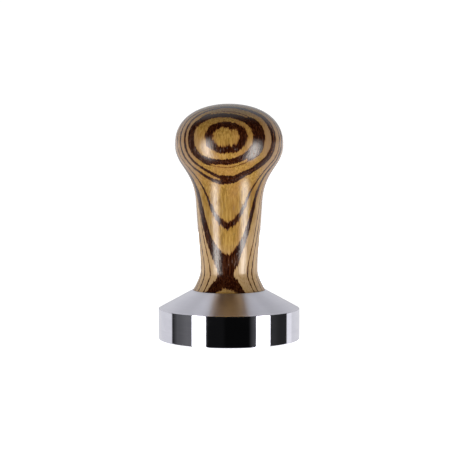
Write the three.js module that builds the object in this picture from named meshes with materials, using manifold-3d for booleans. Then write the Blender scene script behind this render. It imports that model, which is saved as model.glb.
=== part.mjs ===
// Espresso tamper: a turned zebrano handle screwed onto a 58 mm stainless-steel base.
// Millimetres, +Z up. The origin is the centre of the flat tamping face, and +Z runs up the turning axis.
//
// On the bench it comes apart like this: the handle carries a brass insert, screwed into its foot, and a
// rubber seal ring in a counterbore below the insert. The base carries a set screw, glued into its tapped
// hole. Turning the handle anticlockwise runs the insert up the set screw until the two come free.

import * as THREE from "three";
import { mergeVertices } from "three/addons/utils/BufferGeometryUtils.js";
import Module from "manifold-3d";

const wasm = await Module();
wasm.setup();

// ---------------------------------------------------------------- driving dimensions

const BASE = {
  radius: 29, // fits a 58 mm filter basket
  rimHeight: 12.5,
  height: 20,
  landRadius: 15.3, // the flat on top, a little wider than the handle's foot
  edgeBreak: 0.3,
  segments: 72,
};

// The outline passes through the foot, the neck, the waist, the widest part of the head and the top. Each
// pull is how far the curve keeps to its direction on that side of a point.
const HANDLE = {
  footRadius: 14.95,
  footEdge: 0.35, // the rounded corner where the foot meets the steel
  footSlope: 0.8, // loss of radius with height at the foot
  footPull: 0.95,
  neckRadius: 11.75,
  neckHeight: 28,
  neckPull: { below: 2.5, above: 9 },
  waistRadius: 13.6,
  waistHeight: 56,
  waistSlope: 0.06, // growth of radius with height at the waist
  waistPull: { below: 20.7, above: 13.7 },
  headRadius: 22.1,
  headHeight: 79.8,
  headPull: { below: 9.3, above: 11.3 },
  topHeight: 96.2,
  topPull: 11.6,
  segments: 48,
  stepsPerCurve: 9,
};

// The machine thread that joins the two halves, M8 x 1.25, right-handed.
const THREAD = {
  pitch: 1.25,
  majorRadius: 4,
  segments: 20,
  clearance: 0.1, // radial, between the set screw's crests and the tapped holes
  tapRelief: 0.25, // a tapped hole's own crests stand this far clear of the set screw's roots
};

// The set screw reaches from low in the base up into the insert.
const SET_SCREW = {
  bottom: 11,
  length: 20,
  endChamfer: 0.7,
  socketFlats: 4, // hexagon key size
  socketDepth: 4,
};

const TAPPED_HOLE = {
  bottom: 10.2,
  countersink: 0.5,
  drillTipAngle: 118,
};

// The insert's outer thread is coarse and sharp, to hold in wood.
const INSERT = {
  bottom: 21.7,
  length: 12,
  outerRadius: 6,
  rootRadius: 5.1,
  pitch: 2.5,
  endChamfer: 0.8,
  slotWidth: 1.4,
  slotDepth: 1.5,
  segments: 24,
  clearance: 0.12,
};

// The rubber ring and the counterbore in the handle's foot that holds it.
const SEAL = {
  pocketRadius: 7,
  ringRadius: 6.1, // to the centre of the section
  sectionRadius: 0.8,
  gap: 0.05,
  segments: 32,
  sectionSegments: 8,
};

const SCREW_TOP = SET_SCREW.bottom + SET_SCREW.length;
const INSERT_TOP = INSERT.bottom + INSERT.length;
const POCKET_ROOM = 1; // drilled past the insert, so that it never bottoms
const OVERRUN = 2; // how far a cutter runs past the face it cuts
const SPARE_TURNS = 2; // turns of thread past each end, which the ends are then cut from

// A 60 degree V with a flat crest of an eighth of the pitch has this depth.
const threadDepth = (THREAD.pitch * Math.sqrt(3) * 7) / 16;
const SCREW_ROOT = THREAD.majorRadius - threadDepth;
const TAP_CREST = SCREW_ROOT + THREAD.tapRelief;

// ---------------------------------------------------------------- materials

const steel = new THREE.MeshStandardMaterial({ color: 0xc4c5cb, roughness: 0.16, metalness: 1 });
const darkSteel = new THREE.MeshStandardMaterial({ color: 0x8a8c90, roughness: 0.35, metalness: 1 });
const brass = new THREE.MeshStandardMaterial({ color: 0xc9a24e, roughness: 0.3, metalness: 1 });
const zebrano = new THREE.MeshStandardMaterial({ color: 0xa87f42, roughness: 0.35, metalness: 0 });
const rubber = new THREE.MeshStandardMaterial({ color: 0x1b1b1c, roughness: 0.6, metalness: 0 });

// ---------------------------------------------------------------- solids

function solidFrom(geometry) {
  const bare = geometry.clone();
  bare.deleteAttribute("normal");
  bare.deleteAttribute("uv");
  const merged = mergeVertices(bare, 1e-4);
  return new wasm.Manifold(
    new wasm.Mesh({
      numProp: 3,
      vertProperties: merged.attributes.position.array,
      triVerts: new Uint32Array(merged.index.array),
    }),
  );
}

function geometryFrom(solid) {
  const mesh = solid.getMesh();
  const geometry = new THREE.BufferGeometry();
  geometry.setAttribute("position", new THREE.BufferAttribute(mesh.vertProperties, 3));
  geometry.setIndex(new THREE.BufferAttribute(mesh.triVerts, 1));
  geometry.computeVertexNormals();
  return geometry;
}

// A solid of revolution about Z. The profile is [radius, z] pairs from the bottom of the axis to its top.
function turned(profile, segments) {
  const points = profile.map(([radius, z]) => new THREE.Vector2(radius, z));
  const geometry = new THREE.LatheGeometry(points, segments);
  geometry.rotateX(Math.PI / 2);
  return solidFrom(geometry);
}

function box(width, depth, height, centre) {
  const geometry = new THREE.BoxGeometry(width, depth, height);
  geometry.translate(...centre);
  return solidFrom(geometry);
}

// A rod with a right-handed V thread, from just below bottom to just above top. Each turn of the profile is
// a sharp root and a flat crest, so its columns of vertices climb by one pitch per turn.
function threadedRod({ pitch, rootRadius, crestRadius, bottom, top, segments }) {
  const crestFlat = pitch / 8;
  const lines = [
    { rise: 0, radius: rootRadius },
    { rise: (pitch - crestFlat) / 2, radius: crestRadius },
    { rise: (pitch + crestFlat) / 2, radius: crestRadius },
  ];
  const firstTurn = Math.floor(bottom / pitch) - SPARE_TURNS;
  const lastTurn = Math.ceil(top / pitch) + SPARE_TURNS - 1;
  const linesUp = (lastTurn - firstTurn) * lines.length;
  const vertices = [];
  for (let column = 0; column < segments; column++) {
    const angle = (2 * Math.PI * column) / segments;
    for (let line = 0; line <= linesUp; line++) {
      const { rise, radius } = lines[line % lines.length];
      const turn = firstTurn + Math.floor(line / lines.length) + column / segments;
      vertices.push(radius * Math.cos(angle), radius * Math.sin(angle), turn * pitch + rise);
    }
  }
  const columnSize = linesUp + 1;
  const bottomCentre = vertices.length / 3;
  vertices.push(0, 0, firstTurn * pitch);
  const topCentre = bottomCentre + 1;
  vertices.push(0, 0, (lastTurn + 1) * pitch);

  // The last column joins the first one, a whole turn further up.
  const at = (column, line) =>
    column < segments ? column * columnSize + line : line + lines.length;
  const faces = [];
  for (let column = 0; column < segments; column++) {
    const last = column === segments - 1 ? linesUp - lines.length : linesUp;
    for (let line = 0; line < last; line++) {
      const near = at(column, line);
      const far = at(column + 1, line + 1);
      faces.push(near, at(column + 1, line), far);
      faces.push(near, far, at(column, line + 1));
    }
    if (column < segments - 1) {
      faces.push(bottomCentre, at(column + 1, 0), at(column, 0));
      faces.push(topCentre, at(column, linesUp), at(column + 1, linesUp));
    }
  }
  // The ends step by a pitch between the last column and the first.
  const lastColumn = segments - 1;
  faces.push(bottomCentre, lines.length, at(lastColumn, 0));
  for (let line = 0; line < lines.length; line++) {
    faces.push(bottomCentre, line, line + 1);
    const exposed = linesUp - lines.length + line;
    faces.push(topCentre, at(lastColumn, exposed + 1), at(lastColumn, exposed));
  }
  faces.push(topCentre, at(lastColumn, linesUp - lines.length), linesUp);

  const geometry = new THREE.BufferGeometry();
  geometry.setAttribute("position", new THREE.Float32BufferAttribute(vertices, 3));
  geometry.setIndex(faces);
  return solidFrom(geometry);
}

// What a tap leaves: the set screw's thread plus its clearance, between two heights.
function tap(bottom, top) {
  const rod = threadedRod({
    pitch: THREAD.pitch,
    rootRadius: TAP_CREST,
    crestRadius: THREAD.majorRadius + THREAD.clearance,
    bottom,
    top,
    segments: THREAD.segments,
  });
  const size = THREAD.majorRadius * 3;
  return rod.intersect(box(size, size, top - bottom, [0, 0, (top + bottom) / 2]));
}

// ---------------------------------------------------------------- sub-parts

// The base is turned from one bar: a flat face, a straight rim, a cone and a flat land for the handle.
function makeBase() {
  const { radius, rimHeight, height, landRadius, edgeBreak, segments } = BASE;
  const coneSlope = (height - rimHeight) / (radius - landRadius);
  const body = turned(
    [
      [0, 0],
      [radius - edgeBreak, 0],
      [radius, edgeBreak],
      [radius, rimHeight - edgeBreak],
      [radius - edgeBreak, rimHeight + edgeBreak * coneSlope],
      [landRadius, height],
      [0, height],
    ],
    segments,
  );
  const mouth = THREAD.majorRadius + THREAD.clearance + TAPPED_HOLE.countersink;
  const tipHeight = TAP_CREST / Math.tan(THREE.MathUtils.degToRad(TAPPED_HOLE.drillTipAngle / 2));
  const drill = turned(
    [
      [0, TAPPED_HOLE.bottom - tipHeight],
      [TAP_CREST, TAPPED_HOLE.bottom],
      [TAP_CREST, height - mouth + TAP_CREST],
      [mouth, height],
      [mouth, height + OVERRUN],
      [0, height + OVERRUN],
    ],
    THREAD.segments,
  );
  return body.subtract(drill).subtract(tap(TAPPED_HOLE.bottom, height + OVERRUN));
}

// The handle's outer curve, from the foot to the top of the head.
function handleOutline() {
  const h = HANDLE;
  const foot = BASE.height;
  const outline = new THREE.Path();
  outline.moveTo(h.footRadius - h.footEdge, foot);
  outline.quadraticCurveTo(h.footRadius, foot, h.footRadius - h.footSlope * h.footEdge, foot + h.footEdge);
  outline.bezierCurveTo(
    h.footRadius - h.footSlope * h.footPull,
    foot + h.footPull,
    h.neckRadius,
    h.neckHeight - h.neckPull.below,
    h.neckRadius,
    h.neckHeight,
  );
  outline.bezierCurveTo(
    h.neckRadius,
    h.neckHeight + h.neckPull.above,
    h.waistRadius - h.waistSlope * h.waistPull.below,
    h.waistHeight - h.waistPull.below,
    h.waistRadius,
    h.waistHeight,
  );
  outline.bezierCurveTo(
    h.waistRadius + h.waistSlope * h.waistPull.above,
    h.waistHeight + h.waistPull.above,
    h.headRadius,
    h.headHeight - h.headPull.below,
    h.headRadius,
    h.headHeight,
  );
  outline.bezierCurveTo(
    h.headRadius,
    h.headHeight + h.headPull.above,
    h.topPull,
    h.topHeight,
    0,
    h.topHeight,
  );
  return outline.getPoints(h.stepsPerCurve).map((point) => [Math.max(point.x, 0), point.y]);
}

// The handle's foot is bored for the seal ring, then threaded for the insert.
function makeHandle() {
  const body = turned([[0, BASE.height], ...handleOutline()], HANDLE.segments);
  const sealPocket = turned(
    [
      [0, BASE.height - OVERRUN],
      [SEAL.pocketRadius, BASE.height - OVERRUN],
      [SEAL.pocketRadius, INSERT.bottom],
      [0, INSERT.bottom],
    ],
    SEAL.segments,
  );
  const boreTop = INSERT_TOP + POCKET_ROOM;
  const pilotRadius = INSERT.rootRadius + INSERT.clearance;
  const wallRadius = INSERT.outerRadius + INSERT.clearance;
  const insertPocket = threadedRod({
    pitch: INSERT.pitch,
    rootRadius: pilotRadius,
    crestRadius: wallRadius,
    bottom: BASE.height,
    top: boreTop,
    segments: INSERT.segments,
  }).intersect(
    turned(
      [
        [0, BASE.height],
        [wallRadius + OVERRUN, BASE.height],
        [wallRadius + OVERRUN, INSERT_TOP],
        [pilotRadius, boreTop],
        [0, boreTop],
      ],
      INSERT.segments,
    ),
  );
  return body.subtract(sealPocket).subtract(insertPocket);
}

// A brass insert with a driver slot across its lower end, tapped right through.
function makeInsert() {
  const { bottom, outerRadius, rootRadius, pitch, endChamfer, slotWidth, slotDepth, segments } = INSERT;
  const outer = threadedRod({
    pitch,
    rootRadius,
    crestRadius: outerRadius,
    bottom,
    top: INSERT_TOP,
    segments,
  }).intersect(
    turned(
      [
        [0, bottom],
        [outerRadius, bottom],
        [outerRadius, INSERT_TOP - endChamfer],
        [outerRadius - endChamfer, INSERT_TOP],
        [0, INSERT_TOP],
      ],
      segments,
    ),
  );
  const slot = box(3 * outerRadius, slotWidth, 2 * slotDepth, [0, 0, bottom]);
  return outer.subtract(slot).subtract(tap(bottom - OVERRUN, INSERT_TOP + OVERRUN));
}

// The set screw that joins the base and the handle, chamfered at both ends, with a hexagon socket on top.
function makeSetScrew() {
  const { bottom, endChamfer, socketFlats, socketDepth } = SET_SCREW;
  const reach = THREAD.majorRadius;
  const rod = threadedRod({
    pitch: THREAD.pitch,
    rootRadius: SCREW_ROOT,
    crestRadius: reach,
    bottom,
    top: SCREW_TOP,
    segments: THREAD.segments,
  }).intersect(
    turned(
      [
        [0, bottom],
        [reach - endChamfer, bottom],
        [reach, bottom + endChamfer],
        [reach, SCREW_TOP - endChamfer],
        [reach - endChamfer, SCREW_TOP],
        [0, SCREW_TOP],
      ],
      THREAD.segments,
    ),
  );
  const cornerRadius = socketFlats / Math.sqrt(3);
  const floor = SCREW_TOP - socketDepth;
  const socket = turned(
    [
      [0, floor - cornerRadius / 3],
      [cornerRadius, floor],
      [cornerRadius, SCREW_TOP + OVERRUN],
      [0, SCREW_TOP + OVERRUN],
    ],
    6,
  );
  return rod.subtract(socket);
}

// The seal ring sits in the handle's counterbore, between the insert and the base.
function makeSealRing() {
  const geometry = new THREE.TorusGeometry(
    SEAL.ringRadius,
    SEAL.sectionRadius,
    SEAL.sectionSegments,
    SEAL.segments,
  );
  geometry.translate(0, 0, BASE.height + SEAL.gap + SEAL.sectionRadius);
  return solidFrom(geometry);
}

// ---------------------------------------------------------------- assembly

function piece(name, solid, material) {
  const mesh = new THREE.Mesh(geometryFrom(solid), material);
  mesh.name = name;
  return mesh;
}

const tamper = new THREE.Group();
tamper.add(piece("base", makeBase(), steel));
tamper.add(piece("set_screw", makeSetScrew(), darkSteel));
tamper.add(piece("seal_ring", makeSealRing(), rubber));
tamper.add(piece("threaded_insert", makeInsert(), brass));
tamper.add(piece("handle", makeHandle(), zebrano));

export default tamper;
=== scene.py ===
"""Looks of the espresso tamper: a striped zebrano handle on a polished steel base.

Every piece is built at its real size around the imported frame. Lengths are in millimetres and angles in
degrees, unless a comment says otherwise.
"""

import math

import bmesh
import bpy
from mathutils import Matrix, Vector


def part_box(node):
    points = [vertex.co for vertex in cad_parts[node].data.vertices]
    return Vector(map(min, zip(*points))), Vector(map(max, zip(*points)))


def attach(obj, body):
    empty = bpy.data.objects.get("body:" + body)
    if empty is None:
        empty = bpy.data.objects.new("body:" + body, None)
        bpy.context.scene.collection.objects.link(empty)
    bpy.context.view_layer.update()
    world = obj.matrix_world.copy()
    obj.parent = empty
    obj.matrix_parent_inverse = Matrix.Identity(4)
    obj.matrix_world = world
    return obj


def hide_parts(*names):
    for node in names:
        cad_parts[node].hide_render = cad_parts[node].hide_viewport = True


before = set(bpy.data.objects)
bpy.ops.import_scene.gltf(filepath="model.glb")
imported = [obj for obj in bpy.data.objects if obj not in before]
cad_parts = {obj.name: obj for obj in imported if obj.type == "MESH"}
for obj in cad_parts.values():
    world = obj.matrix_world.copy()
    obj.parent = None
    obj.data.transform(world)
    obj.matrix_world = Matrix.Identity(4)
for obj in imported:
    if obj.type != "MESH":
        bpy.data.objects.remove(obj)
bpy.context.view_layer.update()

MM = 0.001


def metres(value):
    return value * MM


def span_mm(node):
    """The lowest and highest corners of a CAD node, in millimetres."""
    low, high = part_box(node)
    return low / MM, high / MM


# ------------------------------------------------------------------ sizes

base_high = span_mm("base")[1]
handle_high = span_mm("handle")[1]
insert_low, insert_high = span_mm("threaded_insert")
screw_low, screw_high = span_mm("set_screw")
seal_low, seal_high = span_mm("seal_ring")

BASE_RADIUS = base_high.x
BASE_TOP = base_high.z
RIM_HEIGHT = 12.5
LAND_RADIUS = 15.3

# The handle's outline. Each pull is how far the curve keeps to its direction on that side of a point.
FOOT_RADIUS = 14.95
FOOT_EDGE = 0.35
FOOT_SLOPE = 0.8
FOOT_PULL = 0.95
NECK_RADIUS = 11.75
NECK_HEIGHT = 28.0
NECK_PULL_BELOW = 2.5
NECK_PULL_ABOVE = 9.0
WAIST_RADIUS = 13.6
WAIST_HEIGHT = 56.0
WAIST_SLOPE = 0.06
WAIST_PULL_BELOW = 20.7
WAIST_PULL_ABOVE = 13.7
HEAD_RADIUS = handle_high.x
HEAD_HEIGHT = 79.8
HEAD_PULL_BELOW = 9.3
HEAD_PULL_ABOVE = 11.3
HANDLE_TOP = handle_high.z
TOP_PULL = 11.6

# The machine thread that joins the two halves, and the tapped hole in the base.
THREAD_PITCH = 1.25
THREAD_RADIUS = screw_high.x
THREAD_DEPTH = THREAD_PITCH * math.sqrt(3) * 7 / 16
THREAD_CLEARANCE = 0.1
TAP_RELIEF = 0.25
TAP_CREST = THREAD_RADIUS - THREAD_DEPTH + TAP_RELIEF
TAP_ROOT = THREAD_RADIUS + THREAD_CLEARANCE
HOLE_BOTTOM = 10.2
HOLE_COUNTERSINK = 0.5
DRILL_TIP = 0.6  # height of the drill's tip for each unit of its radius

# The wood insert and the bore that holds it.
INSERT_RADIUS = insert_high.x
INSERT_ROOT = 5.1
INSERT_PITCH = 2.5
INSERT_CHAMFER = 0.8
INSERT_EDGE = 0.15
INSERT_COUNTERSINK = 0.3
SLOT_WIDTH = 1.4
SLOT_DEPTH = 1.5
SLOT_CUTTER_LENGTH = 20
POCKET_RADIUS = 7.0
BORE_RADIUS = INSERT_RADIUS + 0.12
BORE_TOP = insert_high.z + 1.0

# The set screw, its hexagon socket and the shallow dish in its lower end.
SCREW_CHAMFER = 0.7
SOCKET_FLATS = 4.0
SOCKET_DEPTH = 4.0
SOCKET_MOUTH_RADIUS = 2.52
SOCKET_CHAMFER = 0.25
SOCKET_TIP_RADIUS = 1.5
SOCKET_STEP = 0.15
SOCKET_TIP = 0.9
DISH_RADIUS = 2.1
DISH_FLOOR_RADIUS = 1.6
DISH_DEPTH = 0.3
DISH_MIDDLE_DEPTH = 0.35

# How finely the meshes follow the shapes: points round the axis, steps along each curve of the handle's
# outline, and rows up each turn of a thread.
HANDLE_SEGMENTS = 144
BASE_SEGMENTS = 192
SCREW_SEGMENTS = 72
INSERT_SEGMENTS = 96
SEAL_SEGMENTS = 120
SEAL_STEPS = 28
FLOOR_SEGMENTS = 96
FOOT_EDGE_STEPS = 8
BELOW_NECK_STEPS = 24
ABOVE_NECK_STEPS = 30
BELOW_HEAD_STEPS = 36
OVER_HEAD_STEPS = 44
TAP_ROWS = 10
SCREW_ROWS = 16
INSERT_OUTSIDE_ROWS = 24
INSERT_INSIDE_ROWS = 12

MERGE_DISTANCE = 0.0008  # matching corners lie closer together than this

# Edges that turn by more than these angles stay sharp.
HANDLE_SHARP = 50
BASE_SHARP = 35
THREAD_SHARP = 28


# ------------------------------------------------------------------ outlines

def bezier(start, pull_start, pull_end, end, steps):
    """Points along a cubic curve, without its last one."""
    points = []
    for step in range(steps):
        t = step / steps
        weights = ((1 - t) ** 3, 3 * t * (1 - t) ** 2, 3 * t * t * (1 - t), t**3)
        corners = (start, pull_start, pull_end, end)
        points.append(tuple(sum(w * c[axis] for w, c in zip(weights, corners)) for axis in (0, 1)))
    return points


SUPPORT_REACH = 1.6  # a support point's distance from the corner, as a share of the arc's
SUPPORT_SHARE = 0.49  # it never goes past this share of a side


def rounded(corners, arc_steps=6):
    """The points of an outline of (radius, height, fillet) corners.

    Each fillet is an arc with a support point on either side, which keeps the flats beside it flat.
    """
    points = []
    for index, (r, z, fillet) in enumerate(corners):
        if not fillet:
            points.append((r, z))
            continue
        here = (r, z)
        towards = []
        for neighbour in (corners[index - 1], corners[index + 1]):
            dr, dz = neighbour[0] - r, neighbour[1] - z
            length = math.hypot(dr, dz)
            towards.append((dr / length, dz / length, length))
        (ar, az, a_length), (br, bz, b_length) = towards
        turn = math.acos(max(-1, min(1, ar * br + az * bz)))
        reach = fillet / math.tan(turn / 2)
        support = min(reach * SUPPORT_REACH, a_length * SUPPORT_SHARE, b_length * SUPPORT_SHARE)
        a = (here[0] + ar * reach, here[1] + az * reach)
        b = (here[0] + br * reach, here[1] + bz * reach)
        bisector = math.hypot(ar + br, az + bz)
        centre_distance = fillet / math.sin(turn / 2)
        centre = tuple(here[k] + ((ar, az)[k] + (br, bz)[k]) / bisector * centre_distance for k in (0, 1))
        first = math.atan2(a[1] - centre[1], a[0] - centre[0])
        sweep = math.atan2(b[1] - centre[1], b[0] - centre[0]) - first
        sweep = (sweep + math.pi) % (2 * math.pi) - math.pi
        points.append((here[0] + ar * support, here[1] + az * support))
        for step in range(arc_steps + 1):
            angle = first + sweep * step / arc_steps
            points.append((centre[0] + fillet * math.cos(angle), centre[1] + fillet * math.sin(angle)))
        points.append((here[0] + br * support, here[1] + bz * support))
    return points


# ------------------------------------------------------------------ surfaces

def ring(radius, z, segments):
    """One row of points round the axis. The radius is a number or a function of the angle and height."""
    row = []
    for k in range(segments):
        angle = 2 * math.pi * k / segments
        r = radius(angle, z) if callable(radius) else radius
        row.append((r * math.cos(angle), r * math.sin(angle), z))
    return row


def quads_between(lower, upper):
    """Faces between two rows that have the same number of points."""
    count = len(lower)
    for k in range(count):
        following = (k + 1) % count
        yield (lower[k], lower[following], upper[following], upper[k])


def lathe_faces(outline, segments):
    """Faces of the surface that an outline sweeps round the axis, rows in the order of the outline."""
    rows = [ring(r, z, segments) for r, z in outline]
    for lower, upper in zip(rows, rows[1:]):
        yield from quads_between(lower, upper)


def thread_form(pitch, root, crest, crest_share=0.125, root_share=0.1):
    """Radius of a right-handed V thread at an angle and height. Its root is at height 0 at angle 0."""
    flank = (1 - crest_share - root_share) / 2

    def radius(angle, z):
        from_root = abs((z / pitch - angle / (2 * math.pi) + 0.5) % 1.0 - 0.5)
        share = (from_root - root_share / 2) / flank
        return root + (crest - root) * max(0.0, min(1.0, share))

    return radius


def thread_faces(radius, pitch, bottom, top, segments, rows_per_turn):
    """Faces of a thread between two heights. The rows climb with the helix, which keeps its crests sharp."""
    first = (math.floor(bottom / pitch) - 2) * rows_per_turn
    last = (math.ceil(top / pitch) + 1) * rows_per_turn

    def point(column, row):
        if column == segments:
            column, row = 0, row + rows_per_turn
        angle = 2 * math.pi * column / segments
        z = pitch * (row / rows_per_turn + column / segments)
        z = max(bottom, min(top, z))
        r = radius(angle, z)
        return (r * math.cos(angle), r * math.sin(angle), z)

    for column in range(segments):
        for row in range(first, last):
            yield (
                point(column, row),
                point(column + 1, row),
                point(column + 1, row + 1),
                point(column, row + 1),
            )


def build(name, faces):
    """A mesh object from faces given as corner points in millimetres, with matching corners merged."""
    mesh = bmesh.new()
    known = {}
    for corners in faces:
        loop = []
        for corner in corners:
            key = tuple(round(value, 5) for value in corner)
            if key not in known:
                known[key] = mesh.verts.new([metres(value) for value in corner])
            if known[key] not in loop:
                loop.append(known[key])
        if len(loop) > 2 and not mesh.faces.get(loop):
            mesh.faces.new(loop)
    bmesh.ops.remove_doubles(mesh, verts=mesh.verts, dist=metres(MERGE_DISTANCE))
    bmesh.ops.recalc_face_normals(mesh, faces=mesh.faces)
    for face in mesh.faces:
        face.smooth = True
    data = bpy.data.meshes.new(name)
    mesh.to_mesh(data)
    mesh.free()
    piece = bpy.data.objects.new(name, data)
    bpy.context.scene.collection.objects.link(piece)
    return piece


def sharpen(piece, degrees):
    """Marks the edges that turn by more than this as sharp, so that flats stay flat beside them."""
    limit = math.radians(degrees)
    mesh = bmesh.new()
    mesh.from_mesh(piece.data)
    for edge in mesh.edges:
        edge.smooth = len(edge.link_faces) == 2 and edge.calc_face_angle(0) < limit
    mesh.to_mesh(piece.data)
    mesh.free()


# ------------------------------------------------------------------ pieces

def handle_outline():
    """From the end of the bore, out over the foot, up the neck and over the head to the axis."""
    foot = BASE_TOP
    inside = rounded(
        [
            # radius, height, fillet
            (0, BORE_TOP, 0),
            (BORE_RADIUS, BORE_TOP, 0.3),
            (BORE_RADIUS, insert_low.z, 0.1),
            (POCKET_RADIUS, insert_low.z, 0.15),
            (POCKET_RADIUS, foot, 0.25),
            (FOOT_RADIUS - FOOT_EDGE, foot, 0),
        ]
    )
    edge_end = (FOOT_RADIUS - FOOT_SLOPE * FOOT_EDGE, foot + FOOT_EDGE)
    corner = (FOOT_RADIUS, foot)
    edge = bezier(inside[-1], corner, corner, edge_end, FOOT_EDGE_STEPS)
    below_neck = bezier(
        edge_end,
        (FOOT_RADIUS - FOOT_SLOPE * FOOT_PULL, foot + FOOT_PULL),
        (NECK_RADIUS, NECK_HEIGHT - NECK_PULL_BELOW),
        (NECK_RADIUS, NECK_HEIGHT),
        BELOW_NECK_STEPS,
    )
    above_neck = bezier(
        (NECK_RADIUS, NECK_HEIGHT),
        (NECK_RADIUS, NECK_HEIGHT + NECK_PULL_ABOVE),
        (WAIST_RADIUS - WAIST_PULL_BELOW * WAIST_SLOPE, WAIST_HEIGHT - WAIST_PULL_BELOW),
        (WAIST_RADIUS, WAIST_HEIGHT),
        ABOVE_NECK_STEPS,
    )
    below_head = bezier(
        (WAIST_RADIUS, WAIST_HEIGHT),
        (WAIST_RADIUS + WAIST_PULL_ABOVE * WAIST_SLOPE, WAIST_HEIGHT + WAIST_PULL_ABOVE),
        (HEAD_RADIUS, HEAD_HEIGHT - HEAD_PULL_BELOW),
        (HEAD_RADIUS, HEAD_HEIGHT),
        BELOW_HEAD_STEPS,
    )
    over_head = bezier(
        (HEAD_RADIUS, HEAD_HEIGHT),
        (HEAD_RADIUS, HEAD_HEIGHT + HEAD_PULL_ABOVE),
        (TOP_PULL, HANDLE_TOP),
        (0, HANDLE_TOP),
        OVER_HEAD_STEPS,
    )
    return inside[:-1] + edge + below_neck + above_neck + below_head + over_head + [(0, HANDLE_TOP)]


def make_handle():
    """The handle, with the bore for the insert and the pocket for the seal ring in its foot."""
    piece = build("handle_zebrano", lathe_faces(handle_outline(), HANDLE_SEGMENTS))
    sharpen(piece, HANDLE_SHARP)
    return piece


def tap_form():
    """What a tap leaves: the set screw's thread plus its clearance."""
    return thread_form(THREAD_PITCH, TAP_CREST, TAP_ROOT)


def make_base():
    """Flat face, straight rim, cone and land, then the tapped hole down from the land."""
    segments = BASE_SEGMENTS
    tap = tap_form()
    thread_top = BASE_TOP - HOLE_COUNTERSINK
    outside = rounded(
        [
            # radius, height, fillet
            (0, 0, 0),
            (BASE_RADIUS, 0, 0.3),
            (BASE_RADIUS, RIM_HEIGHT, 0.22),
            (LAND_RADIUS, BASE_TOP, 0.15),
            (TAP_ROOT + HOLE_COUNTERSINK, BASE_TOP, 0.06),
            (TAP_ROOT, thread_top, 0),
        ],
        arc_steps=7,
    )
    faces = list(lathe_faces(outside, segments))
    faces += quads_between(ring(TAP_ROOT, thread_top, segments), ring(tap, thread_top, segments))
    faces += thread_faces(tap, THREAD_PITCH, HOLE_BOTTOM, thread_top, segments, TAP_ROWS)
    faces += quads_between(ring(tap, HOLE_BOTTOM, segments), ring(TAP_CREST, HOLE_BOTTOM, segments))
    faces += lathe_faces([(TAP_CREST, HOLE_BOTTOM), (0, HOLE_BOTTOM - TAP_CREST * DRILL_TIP)], segments)
    piece = build("base_polished", faces)
    sharpen(piece, BASE_SHARP)
    return piece


def make_set_screw():
    """A socket set screw: a threaded rod with chamfered ends and a hexagon socket in its top."""
    segments = SCREW_SEGMENTS
    bottom, top = screw_low.z, screw_high.z
    form = thread_form(THREAD_PITCH, THREAD_RADIUS - THREAD_DEPTH, THREAD_RADIUS)

    def with_ends(angle, z):
        return min(form(angle, z), THREAD_RADIUS - SCREW_CHAMFER + min(z - bottom, top - z))

    def hexagon(angle, z):
        return SOCKET_FLATS / 2 / math.cos((angle + math.pi / 6) % (math.pi / 3) - math.pi / 6)

    dish = [(0, bottom + DISH_MIDDLE_DEPTH), (DISH_FLOOR_RADIUS, bottom + DISH_DEPTH), (DISH_RADIUS, bottom)]
    faces = list(lathe_faces(dish, segments))
    faces += quads_between(ring(DISH_RADIUS, bottom, segments), ring(with_ends, bottom, segments))
    faces += thread_faces(with_ends, THREAD_PITCH, bottom, top, segments, SCREW_ROWS)

    socket_floor = top - SOCKET_DEPTH
    socket = [
        ring(with_ends, top, segments),
        ring(SOCKET_MOUTH_RADIUS, top, segments),
        ring(hexagon, top - SOCKET_CHAMFER, segments),
        ring(hexagon, socket_floor, segments),
        ring(SOCKET_TIP_RADIUS, socket_floor - SOCKET_STEP, segments),
        ring(0, socket_floor - SOCKET_TIP, segments),
    ]
    for outer, inner in zip(socket, socket[1:]):
        faces += quads_between(outer, inner)
    piece = build("set_screw_threaded", faces)
    sharpen(piece, THREAD_SHARP)
    return piece


def make_insert():
    """The wood insert: a coarse thread outside, the machine thread inside, and a driver slot below."""
    segments = INSERT_SEGMENTS
    bottom, top = insert_low.z, insert_high.z
    coarse = thread_form(INSERT_PITCH, INSERT_ROOT, INSERT_RADIUS, crest_share=0.08, root_share=0.3)
    tap = tap_form()
    mouth = TAP_ROOT + INSERT_COUNTERSINK

    def outside(angle, z):
        chamfered = INSERT_RADIUS - INSERT_CHAMFER + (top - z)
        edge_broken = INSERT_RADIUS - INSERT_EDGE + (z - bottom)
        return min(coarse(angle, z), chamfered, edge_broken)

    def inside(angle, z):
        return max(tap(angle, z), mouth - (z - bottom), mouth - (top - z))

    faces = list(thread_faces(outside, INSERT_PITCH, bottom, top, segments, INSERT_OUTSIDE_ROWS))
    faces += thread_faces(inside, THREAD_PITCH, bottom, top, segments, INSERT_INSIDE_ROWS)
    for end in (bottom, top):
        faces += quads_between(ring(outside, end, segments), ring(inside, end, segments))
    piece = build("insert_brass", faces)
    cut_slot(piece, bottom)
    sharpen(piece, THREAD_SHARP)
    return piece


def cut_slot(piece, bottom):
    """Cuts the driver slot across a piece's lower end, by a box twice as deep that is centred on the end."""
    cutter_mesh = bmesh.new()
    bmesh.ops.create_cube(cutter_mesh, size=1)
    cutter_data = bpy.data.meshes.new("slot_cutter")
    cutter_mesh.to_mesh(cutter_data)
    cutter_mesh.free()
    cutter = bpy.data.objects.new("slot_cutter", cutter_data)
    bpy.context.scene.collection.objects.link(cutter)
    cutter.scale = (metres(SLOT_CUTTER_LENGTH), metres(SLOT_WIDTH), metres(2 * SLOT_DEPTH))
    cutter.location = (0, 0, metres(bottom))
    slot = piece.modifiers.new("slot", "BOOLEAN")
    slot.operation = "DIFFERENCE"
    slot.solver = "EXACT"
    slot.object = cutter
    apply_modifiers(piece)
    bpy.data.objects.remove(cutter)


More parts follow.
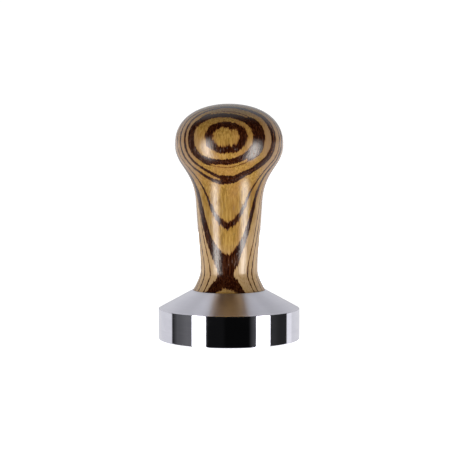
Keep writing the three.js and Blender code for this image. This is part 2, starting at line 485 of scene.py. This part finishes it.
def apply_modifiers(piece):
    """Puts the shape that the modifiers make in place of the piece's mesh."""
    graph = bpy.context.evaluated_depsgraph_get()
    data = bpy.data.meshes.new_from_object(piece.evaluated_get(graph))
    piece.modifiers.clear()
    piece.data = data


def make_seal_ring():
    """A plain ring of round section."""
    section = (seal_high.z - seal_low.z) / 2
    middle = (seal_high.z + seal_low.z) / 2
    centre_radius = seal_high.x - section
    outline = []
    for step in range(SEAL_STEPS + 1):
        angle = 2 * math.pi * step / SEAL_STEPS
        outline.append((centre_radius + section * math.cos(angle), middle + section * math.sin(angle)))
    return build("seal_ring_rubber", lathe_faces(outline, SEAL_SEGMENTS))


# ------------------------------------------------------------------ shader helpers

class Graph:
    """Adds nodes to one node tree. A value is a number or an output socket."""

    def __init__(self, tree):
        self.tree = tree

    def node(self, kind, **settings):
        made = self.tree.nodes.new(kind)
        for name, value in settings.items():
            setattr(made, name, value)
        return made

    def put(self, value, socket):
        if isinstance(value, bpy.types.NodeSocket):
            self.tree.links.new(value, socket)
        elif value is not None:
            socket.default_value = value

    def math(self, operation, *values):
        made = self.node("ShaderNodeMath", operation=operation)
        for value, socket in zip(values, made.inputs):
            self.put(value, socket)
        return made.outputs[0]

    def scaled(self, vector, scale):
        """The vector times (x, y, z), or times one number."""
        made = self.node("ShaderNodeVectorMath", operation="MULTIPLY")
        self.put(vector, made.inputs[0])
        made.inputs[1].default_value = scale if isinstance(scale, tuple) else (scale,) * 3
        return made.outputs[0]

    def smooth(self, value, start, end, low=0.0, high=1.0):
        """Runs smoothly from low, at or before start, to high, at or after end."""
        made = self.node("ShaderNodeMapRange", interpolation_type="SMOOTHSTEP")
        for number, socket in zip((value, start, end, low, high), made.inputs):
            self.put(number, socket)
        return made.outputs[0]

    def window(self, value, start, end, soft):
        """1 between start and end, and 0 outside them, with edges this soft."""
        rise = self.smooth(value, start - soft, start + soft)
        fall = self.smooth(value, end - soft, end + soft, 1.0, 0.0)
        return self.math("MULTIPLY", rise, fall)

    def noise(self, vector, scale=1.0, detail=2.0, roughness=0.5):
        made = self.node("ShaderNodeTexNoise")
        self.put(vector, made.inputs["Vector"])
        made.inputs["Scale"].default_value = scale
        made.inputs["Detail"].default_value = detail
        made.inputs["Roughness"].default_value = roughness
        return made.outputs["Fac"]

    def signed_noise(self, vector, amount, scale=1.0, detail=2.0):
        """Noise that goes about as far below zero as above it."""
        centred = self.math("SUBTRACT", self.noise(vector, scale, detail), 0.5)
        return self.math("MULTIPLY", centred, 2 * amount)

    def mix(self, share, first, second):
        made = self.node("ShaderNodeMix", data_type="RGBA")
        self.put(share, made.inputs["Factor"])
        self.put(first, made.inputs[6])
        self.put(second, made.inputs[7])
        return made.outputs[2]

    def bump(self, height, distance, strength):
        made = self.node("ShaderNodeBump")
        made.inputs["Strength"].default_value = strength
        made.inputs["Distance"].default_value = metres(distance)
        self.put(height, made.inputs["Height"])
        return made.outputs["Normal"]

    def position_mm(self):
        coordinates = self.node("ShaderNodeTexCoord")
        return self.scaled(coordinates.outputs["Object"], 1 / MM)

    def parts(self, vector):
        made = self.node("ShaderNodeSeparateXYZ")
        self.put(vector, made.inputs[0])
        return made.outputs[0], made.outputs[1], made.outputs[2]


def new_material(name):
    """A material with an empty Principled surface, and the graph to fill it in with."""
    material = bpy.data.materials.new(name)
    material.use_nodes = True
    graph = Graph(material.node_tree)
    surface = material.node_tree.nodes["Principled BSDF"]
    return material, graph, surface


# ------------------------------------------------------------------ wood

# The dark layers of the zebrano, as they cross the middle of the handle. Depth is the layer's place in the
# block of wood, lean and bend are how it drifts from left to right, half is half its thickness, and swell is
# how that grows from left to right. Strength 1 is the darkest.
DARK_LAYERS = [
    # depth, lean, bend, half, swell, strength
    (31.45, 0.05, -0.0040, 0.44, 0.00, 1.00),
    (28.92, 0.11, -0.0065, 0.82, 0.00, 1.00),
    (27.10, 0.09, 0.0000, 0.11, 0.01, 0.60),
    (23.60, -0.025, -0.0035, 0.50, 0.00, 1.00),
    (22.50, 0.115, -0.0020, 0.50, 0.00, 1.00),
    (16.50, 0.06, 0.0070, 0.36, 0.00, 0.95),
    (12.11, 0.12, 0.0105, 1.05, -0.02, 1.00),
    (7.90, 0.02, 0.0185, 0.20, 0.00, 0.85),
    (5.35, 0.06, 0.0150, 0.26, 0.00, 0.92),
    (2.60, 0.04, 0.0110, 0.20, 0.00, 0.80),
    (0.70, 0.01, 0.0000, 0.14, 0.00, 0.60),
    (-1.40, 0.03, -0.0020, 0.70, 0.00, 1.00),
    (-3.30, 0.02, 0.0000, 0.15, 0.00, 0.65),
    (-5.10, -0.02, 0.0010, 0.32, 0.01, 0.90),
    (-7.50, 0.02, 0.0020, 0.80, -0.02, 1.00),
    (-9.40, 0.05, 0.0000, 0.18, 0.00, 0.70),
    (-11.20, -0.03, 0.0020, 0.45, 0.01, 0.95),
    (-13.40, 0.02, 0.0000, 0.24, 0.00, 0.80),
    (-15.60, 0.01, 0.0010, 0.65, 0.00, 1.00),
]

# Where a dark layer thickens into a lens: across, depth, and half its width and half its thickness.
DARK_LENSES = [
    (12.0, 28.5, 5.0, 1.5),
    (-12.5, 26.4, 5.5, 0.8),
    (9.0, 23.8, 7.8, 1.15),
    (0.5, 23.2, 4.5, 1.15),
]

# Where light wood runs into a dark layer, in the same terms.
LIGHT_LENSES = [
    (2.6, 11.05, 2.0, 0.60),
]

# The layers stop drifting this far out from the middle, over a stretch this soft.
DRIFT_REACH = 15.0
DRIFT_SOFT = 3.0

# How far a dark layer's edge fades, inside and outside its half thickness.
FADE_INSIDE = 0.16
FADE_OUTSIDE = 0.22

# The layers lean towards the viewer as they go up, by one slope above this height and another below it.
ARCH_HEIGHT = 30.0
ARCH_ABOVE = 0.2
ARCH_BELOW = 0.08

# Linear RGB. The light wood is golden or redder. Over it go two painted sheens, which stand for the
# lacquer's reflection at grazing
# angles: a pale one on the flanks behind the front layers, and a pinkish one at the sides. The dark wood is
# umber, with a brown fringe, and the pores are brown.
GOLDEN_LIGHT = (0.395, 0.232, 0.056, 1)
GOLDEN_DARK = (0.20, 0.105, 0.018, 1)
GOLDEN_RED = (0.29, 0.140, 0.040, 1)
# painted sheen: a pale tone for the lacquer's grazing reflection on the flanks
PAINTED_SHEEN_PALE = (0.44, 0.295, 0.150, 1)
# painted sheen: a pinkish tone for the reflection at grazing angles on the sides
PAINTED_SHEEN_PINK = (0.27, 0.165, 0.088, 1)
FRINGE = (0.15, 0.055, 0.015, 1)
UMBER_DARK = (0.012, 0.0012, 0.0004, 1)
UMBER_LIGHT = (0.060, 0.018, 0.0050, 1)
PORE = (0.08, 0.030, 0.008, 1)
LACQUER_TINT = (1.0, 0.94, 0.86, 1)  # of what the lacquer reflects


def wood_depth(graph, position):
    """A point's place from left to right, and how deep in the block of wood it lies."""
    x, y, z = graph.parts(position)
    above = graph.math("SUBTRACT", z, ARCH_HEIGHT)
    steep = graph.math("MULTIPLY", above, ARCH_ABOVE)
    shallow = graph.math("MULTIPLY", above, ARCH_BELOW)
    arch = graph.math("SMOOTH_MAX", steep, shallow, 1.0)
    depth = graph.math("SUBTRACT", arch, y)
    waves = graph.signed_noise(graph.scaled(position, (0.3, 0.3, 0.04)), 0.3, detail=1.0)
    fibres = graph.signed_noise(graph.scaled(position, (2.2, 2.2, 0.26)), 0.44, detail=2.0)
    depth = graph.math("ADD", depth, waves)
    return x, graph.math("ADD", depth, fibres)


def lens(graph, x, depth, across, centre, half_width, half):
    """0 inside a lens of wood and 1 outside it."""
    sideways = graph.math("DIVIDE", graph.math("SUBTRACT", x, across), half_width)
    inwards = graph.math("DIVIDE", graph.math("SUBTRACT", depth, centre), half)
    squares = graph.math("MULTIPLY_ADD", sideways, sideways, graph.math("MULTIPLY", inwards, inwards))
    return graph.smooth(squares, 0.75, 1.1)


def dark_share(graph, x, depth):
    """How dark each point is, from 0 in the light wood to 1 in the middle of a dark layer."""
    x = graph.math("SMOOTH_MIN", x, DRIFT_REACH, DRIFT_SOFT)
    x = graph.math("SMOOTH_MAX", x, -DRIFT_REACH, DRIFT_SOFT)
    light = 1.0
    for centre, lean, bend, half, swell, strength in DARK_LAYERS:
        drift = graph.math("MULTIPLY_ADD", x, bend, lean)
        middle = graph.math("MULTIPLY_ADD", drift, x, centre)
        away = graph.math("ABSOLUTE", graph.math("SUBTRACT", depth, middle))
        if swell:
            away = graph.math("MULTIPLY_ADD", x, -swell, away)
        here = graph.smooth(away, half - FADE_INSIDE, half + FADE_OUTSIDE, 1 - strength, 1.0)
        light = graph.math("MULTIPLY", light, here)
    for shape in DARK_LENSES:
        light = graph.math("MULTIPLY", light, lens(graph, x, depth, *shape))
    dark = graph.math("SUBTRACT", 1.0, light)
    for shape in LIGHT_LENSES:
        dark = graph.math("MULTIPLY", dark, lens(graph, x, depth, *shape))
    return dark


def zebrano_material():
    """Light wood with fibre streaks and a painted sheen on its flanks and sides, dark layers with a brown
    fringe, open pores, and lacquer over all.
    """
    material, graph, surface = new_material("zebrano_lacquered")
    position = graph.position_mm()
    x, depth = wood_depth(graph, position)
    dark = dark_share(graph, x, depth)

    streaks = graph.noise(graph.scaled(position, (2.2, 2.2, 0.11)), detail=4.0, roughness=0.65)
    clouds = graph.noise(graph.scaled(position, (0.22, 0.22, 0.05)), detail=2.0)
    golden = graph.mix(graph.smooth(streaks, 0.38, 0.64), GOLDEN_DARK, GOLDEN_LIGHT)
    golden = graph.mix(graph.smooth(clouds, 0.4, 0.72, 0.0, 0.5), golden, GOLDEN_RED)
    # painted sheen: the light wood turns pale on the flanks, away from the front, half as much at the back,
    # in place of grazing reflection
    behind_front = graph.smooth(depth, 15.0, 10.0)
    before_back = graph.smooth(depth, -5.0, -0.5, 0.5, 1.0)
    inside = graph.math("MULTIPLY", behind_front, before_back)
    painted_sheen_share = graph.math("MULTIPLY", inside, graph.smooth(streaks, 0.3, 0.6, 0.5, 0.95))
    golden = graph.mix(painted_sheen_share, golden, PAINTED_SHEEN_PALE)
    # painted sheen: the light wood turns pinkish towards the left and right sides, in place of grazing
    # reflection
    sideways = graph.smooth(graph.math("ABSOLUTE", x), 11.0, 16.0, 0.0, 0.75)
    golden = graph.mix(sideways, golden, PAINTED_SHEEN_PINK)
    umber = graph.mix(graph.smooth(streaks, 0.4, 0.72), UMBER_DARK, UMBER_LIGHT)

    pores = graph.noise(graph.scaled(position, (2.8, 2.8, 0.34)), detail=2.0, roughness=0.6)
    pore = graph.smooth(pores, 0.62, 0.72)
    colour = graph.mix(graph.smooth(dark, 0.0, 0.5), golden, FRINGE)
    colour = graph.mix(graph.smooth(dark, 0.3, 0.85), colour, umber)
    colour = graph.mix(graph.math("MULTIPLY", pore, 0.5), colour, PORE)
    graph.put(colour, surface.inputs["Base Color"])

    lacquer = graph.smooth(streaks, 0.3, 0.7, 0.12, 0.18)
    graph.put(graph.math("MULTIPLY_ADD", pore, 0.15, lacquer), surface.inputs["Roughness"])
    surface.inputs["IOR"].default_value = 1.5
    surface.inputs["Specular Tint"].default_value = LACQUER_TINT
    ripple = graph.noise(graph.scaled(position, (2.3, 2.3, 1.1)), detail=2.0, roughness=0.65)
    relief = graph.math("MULTIPLY_ADD", ripple, 1.4, graph.math("MULTIPLY_ADD", pore, -0.9, streaks))
    graph.put(graph.bump(relief, 0.045, 0.7), surface.inputs["Normal"])
    return material


# ------------------------------------------------------------------ metals and rubber

# Metal and rubber colours in linear RGB, each from its lighter or cleaner tone to its darker or duller one.
STAINLESS = ((0.81, 0.805, 0.865, 1), (0.76, 0.755, 0.82, 1))
TURNING_MARKS = (0.50, 0.50, 0.54, 1)
SCREW_STEEL = ((0.52, 0.52, 0.53, 1), (0.40, 0.40, 0.42, 1))
BRASS = ((0.66, 0.44, 0.15, 1), (0.50, 0.31, 0.10, 1))
RUBBER = ((0.042, 0.042, 0.043, 1), (0.018, 0.018, 0.019, 1))

SATIN_ROUGHNESS = 0.24  # what the cone adds to the mirror finish of the rim and the face


def polished_steel_material():
    """Mirror-polished stainless steel with the rings that turning leaves, and a satin cone."""
    material, graph, surface = new_material("stainless_polished")
    position = graph.position_mm()
    x, y, z = graph.parts(position)
    squares = graph.math("MULTIPLY_ADD", x, x, graph.math("MULTIPLY", y, y))
    radius = graph.math("SQRT", squares)
    turning = graph.node("ShaderNodeCombineXYZ")
    graph.put(graph.math("MULTIPLY", radius, 9.0), turning.inputs[0])
    graph.put(graph.math("MULTIPLY", z, 9.0), turning.inputs[1])
    rings = graph.noise(turning.outputs[0], detail=3.0, roughness=0.6)
    broad = graph.noise(graph.scaled(turning.outputs[0], 0.12), detail=4.0, roughness=0.7)
    wipe = graph.noise(graph.scaled(position, (0.12, 0.12, 0.3)), detail=3.0)
    tone = graph.mix(graph.smooth(wipe, 0.3, 0.7), STAINLESS[1], STAINLESS[0])
    on_face = graph.smooth(z, 0.05, 0.25, 1.0, 0.08)
    marks = graph.math("MULTIPLY", graph.smooth(broad, 0.42, 0.66, 0.0, 0.6), on_face)
    tone = graph.mix(marks, tone, TURNING_MARKS)
    graph.put(tone, surface.inputs["Base Color"])
    surface.inputs["Metallic"].default_value = 1.0
    blend = graph.math("ADD", graph.math("MULTIPLY", rings, 0.5), graph.math("MULTIPLY", wipe, 0.5))
    mirror = graph.smooth(blend, 0.35, 0.65, 0.04, 0.08)
    on_cone = graph.smooth(z, RIM_HEIGHT + 0.05, RIM_HEIGHT + 0.25, 0.0, SATIN_ROUGHNESS)
    graph.put(graph.math("ADD", mirror, on_cone), surface.inputs["Roughness"])
    surface.inputs["Anisotropic"].default_value = 0.92
    surface.inputs["Anisotropic Rotation"].default_value = 0.25
    around = graph.node("ShaderNodeTangent", direction_type="RADIAL", axis="Z")
    graph.put(around.outputs[0], surface.inputs["Tangent"])
    graph.put(graph.bump(rings, 0.0006, 0.5), surface.inputs["Normal"])
    return material


def screw_steel_material():
    """Plain machined steel with a little grime in its tone."""
    material, graph, surface = new_material("screw_steel")
    position = graph.position_mm()
    grime = graph.noise(graph.scaled(position, (0.8, 0.8, 2.4)), detail=4.0)
    tone = graph.mix(graph.smooth(grime, 0.35, 0.7), SCREW_STEEL[1], SCREW_STEEL[0])
    graph.put(tone, surface.inputs["Base Color"])
    surface.inputs["Metallic"].default_value = 1.0
    graph.put(graph.smooth(grime, 0.3, 0.7, 0.24, 0.42), surface.inputs["Roughness"])
    graph.put(graph.bump(graph.noise(position, 6.0, 3.0), 0.004, 0.4), surface.inputs["Normal"])
    return material


def brass_material():
    """Machined brass, slightly tarnished, with fine tool marks round it."""
    material, graph, surface = new_material("brass_machined")
    position = graph.position_mm()
    tarnish = graph.noise(graph.scaled(position, 0.9), detail=4.0)
    tone = graph.mix(graph.smooth(tarnish, 0.35, 0.7), BRASS[0], BRASS[1])
    graph.put(tone, surface.inputs["Base Color"])
    surface.inputs["Metallic"].default_value = 1.0
    graph.put(graph.smooth(tarnish, 0.3, 0.7, 0.2, 0.38), surface.inputs["Roughness"])
    tool_marks = graph.noise(graph.scaled(position, (1.0, 1.0, 7.0)), 2.0, 3.0)
    graph.put(graph.bump(tool_marks, 0.004, 0.4), surface.inputs["Normal"])
    return material


def rubber_material():
    """Matt black rubber with a faint bloom."""
    material, graph, surface = new_material("nitrile_rubber")
    position = graph.position_mm()
    bloom = graph.noise(position, 1.1, 4.0)
    tone = graph.mix(graph.smooth(bloom, 0.4, 0.75), RUBBER[1], RUBBER[0])
    graph.put(tone, surface.inputs["Base Color"])
    graph.put(graph.smooth(bloom, 0.3, 0.7, 0.42, 0.62), surface.inputs["Roughness"])
    graph.put(graph.bump(graph.noise(position, 9.0, 2.0), 0.006, 0.4), surface.inputs["Normal"])
    return material


# ------------------------------------------------------------------ studio

# Soft boxes and cards round the object. Azimuth is 0 at the camera, positive to its right.
STUDIO = [
    # azimuth from, to, softness, elevation from, to, softness, brightness
    (-60.5, -40.0, 3.0, -42.0, 8.0, 12.0, 13.5),
    (46.0, 68.0, 2.5, -46.0, 2.0, 12.0, 13.5),
    (-61.0, -38.5, 4.0, -42.0, 8.0, 12.0, 0.4),
    (45.5, 68.5, 4.0, -46.0, 2.0, 12.0, 0.4),
    (-40.0, -8.0, 4.0, -60.0, 20.0, 4.0, 0.004),
    (36.0, 47.0, 5.0, -60.0, 20.0, 5.0, 0.06),
    (-106.0, -97.0, 1.0, -90.0, 30.0, 1.0, 0.03),
    (-97.0, -60.0, 5.0, -90.0, 30.0, 5.0, 0.10),
    (-80.0, -60.0, 12.0, -90.0, 30.0, 5.0, 0.05),
    (71.0, 107.5, 1.0, -90.0, 30.0, 1.0, 0.02),
    (71.0, 82.0, 8.0, -90.0, 30.0, 5.0, 0.015),
    (107.5, 122.0, 1.5, -90.0, 2.0, 1.5, 0.18),
    (107.5, 254.0, 1.5, -90.0, 2.0, 1.5, 0.77),
    (122.0, 242.0, 8.0, 2.0, 66.0, 8.0, 0.61),
    (180.0, 242.0, 20.0, 2.0, 66.0, 8.0, 0.06),
    (122.0, 242.0, 8.0, 66.0, 90.0, 8.0, 0.35),
    (-200.0, 200.0, 8.0, 66.0, 90.0, 8.0, 0.12),
]

STUDIO_COLOUR = (0.97, 0.97, 1.0, 1)
STUDIO_GLOW = 0.003  # between the boxes and cards
BACKDROP_BRIGHTNESS = 1.05
FLOOR_BRIGHTNESS = 0.9
FLOOR_PAINT = ((0.80, 0.80, 0.80, 1), (0.84, 0.84, 0.84, 1))
FLOOR_RADII = (0, 120, 4000)
FLOOR_DROP = 0.02


def make_world():
    """The soft boxes and cards, which light the tamper and show in it, and a white backdrop."""
    world = bpy.data.worlds.new("studio")
    bpy.context.scene.world = world
    world.use_nodes = True
    world.node_tree.nodes.clear()
    graph = Graph(world.node_tree)
    direction = graph.node("ShaderNodeTexCoord").outputs["Generated"]
    x, y, z = graph.parts(direction)
    turn = 180 / math.pi
    azimuth = graph.math("MULTIPLY", graph.math("ARCTAN2", x, graph.math("MULTIPLY", y, -1.0)), turn)
    behind = graph.math("ADD", azimuth, graph.math("MULTIPLY", graph.math("LESS_THAN", azimuth, 0.0), 360.0))
    elevation = graph.math("MULTIPLY", graph.math("ARCSINE", z), turn)
    total = STUDIO_GLOW
    for az_from, az_to, az_soft, el_from, el_to, el_soft, brightness in STUDIO:
        angle = behind if az_from > 100 else azimuth
        across = graph.window(angle, az_from, az_to, az_soft)
        upwards = graph.window(elevation, el_from, el_to, el_soft)
        panel = graph.math("MULTIPLY", graph.math("MULTIPLY", across, upwards), brightness)
        total = graph.math("ADD", total, panel)
    lit = graph.node("ShaderNodeBackground")
    lit.inputs["Color"].default_value = STUDIO_COLOUR
    graph.put(total, lit.inputs["Strength"])
    backdrop = graph.node("ShaderNodeBackground")
    backdrop.inputs["Color"].default_value = (1, 1, 1, 1)
    backdrop.inputs["Strength"].default_value = BACKDROP_BRIGHTNESS
    seen = graph.node("ShaderNodeLightPath").outputs["Is Camera Ray"]
    choose = graph.node("ShaderNodeMixShader")
    graph.put(seen, choose.inputs[0])
    graph.put(lit.outputs[0], choose.inputs[1])
    graph.put(backdrop.outputs[0], choose.inputs[2])
    output = graph.node("ShaderNodeOutputWorld")
    graph.put(choose.outputs[0], output.inputs["Surface"])


def make_floor():
    """A plain pale floor, overexposed to white as on a light table. It can be seen through from below."""
    outline = [(radius, 0) for radius in FLOOR_RADII]
    floor = build("floor", lathe_faces(outline, FLOOR_SEGMENTS))
    if floor.data.polygons[0].normal.z < 0:
        floor.data.flip_normals()
    floor.location.z = -metres(FLOOR_DROP)
    material = bpy.data.materials.new("pale_floor")
    material.use_nodes = True
    material.node_tree.nodes.clear()
    graph = Graph(material.node_tree)
    paint = graph.node("ShaderNodeBsdfDiffuse")
    grain = graph.noise(graph.position_mm(), 0.05, 3.0)
    graph.put(graph.mix(grain, *FLOOR_PAINT), paint.inputs["Color"])
    glow = graph.node("ShaderNodeEmission")
    seen = graph.node("ShaderNodeLightPath").outputs["Is Camera Ray"]
    graph.put(graph.math("MULTIPLY", seen, FLOOR_BRIGHTNESS), glow.inputs["Strength"])
    both = graph.node("ShaderNodeAddShader")
    graph.put(paint.outputs[0], both.inputs[0])
    graph.put(glow.outputs[0], both.inputs[1])
    one_sided = graph.node("ShaderNodeMixShader")
    graph.put(graph.node("ShaderNodeNewGeometry").outputs["Backfacing"], one_sided.inputs[0])
    graph.put(both.outputs[0], one_sided.inputs[1])
    graph.put(graph.node("ShaderNodeBsdfTransparent").outputs[0], one_sided.inputs[2])
    output = graph.node("ShaderNodeOutputMaterial")
    graph.put(one_sided.outputs[0], output.inputs["Surface"])
    floor.data.materials.append(material)
    floor.visible_glossy = False
    floor.visible_diffuse = False
    floor.visible_shadow = False


BACK_LIGHT_PLACE = (0, 600, 140)
BACK_LIGHT_TILT = 8  # degrees below level
BACK_LIGHT_SIZE = 300
BACK_LIGHT_WATTS = 2.0


def make_back_light():
    """A soft box behind the tamper, for the side that the studio leaves dim. It shows in no reflection."""
    data = bpy.data.lights.new("back_light", "AREA")
    data.size = metres(BACK_LIGHT_SIZE)
    data.energy = BACK_LIGHT_WATTS
    light = bpy.data.objects.new("back_light", data)
    bpy.context.scene.collection.objects.link(light)
    light.location = [metres(value) for value in BACK_LIGHT_PLACE]
    light.rotation_euler = (math.radians(BACK_LIGHT_TILT - 90), 0, 0)
    light.visible_camera = False
    light.visible_glossy = False


CAMERA_PLACE = (-1.27, -600, 87)
CAMERA_TILT = 3.888  # degrees below level
CAMERA_LENS = 116.84  # focal length on a 36 mm sensor


def make_camera():
    """A long lens in front of the tamper, a little below its top and looking slightly down."""
    data = bpy.data.cameras.new("camera")
    data.sensor_width = 36.0
    data.lens = CAMERA_LENS
    camera = bpy.data.objects.new("camera", data)
    bpy.context.scene.collection.objects.link(camera)
    camera.location = [metres(value) for value in CAMERA_PLACE]
    camera.rotation_euler = (math.radians(90 - CAMERA_TILT), 0, 0)
    bpy.context.scene.camera = camera


# ------------------------------------------------------------------ assembly

def finish_piece(piece, material, body, node):
    """Gives a piece its material, and puts it on its body in place of a CAD node."""
    piece.data.materials.clear()
    piece.data.materials.append(material)
    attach(piece, body)
    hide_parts(node)


make_camera()
make_world()
make_back_light()
make_floor()
finish_piece(make_base(), polished_steel_material(), "base", "base")
finish_piece(make_set_screw(), screw_steel_material(), "base", "set_screw")
finish_piece(make_seal_ring(), rubber_material(), "seal", "seal_ring")
finish_piece(make_insert(), brass_material(), "handle", "threaded_insert")
finish_piece(make_handle(), zebrano_material(), "handle", "handle")

view = bpy.context.scene.view_settings
view.view_transform = "Standard"
view.look = "None"
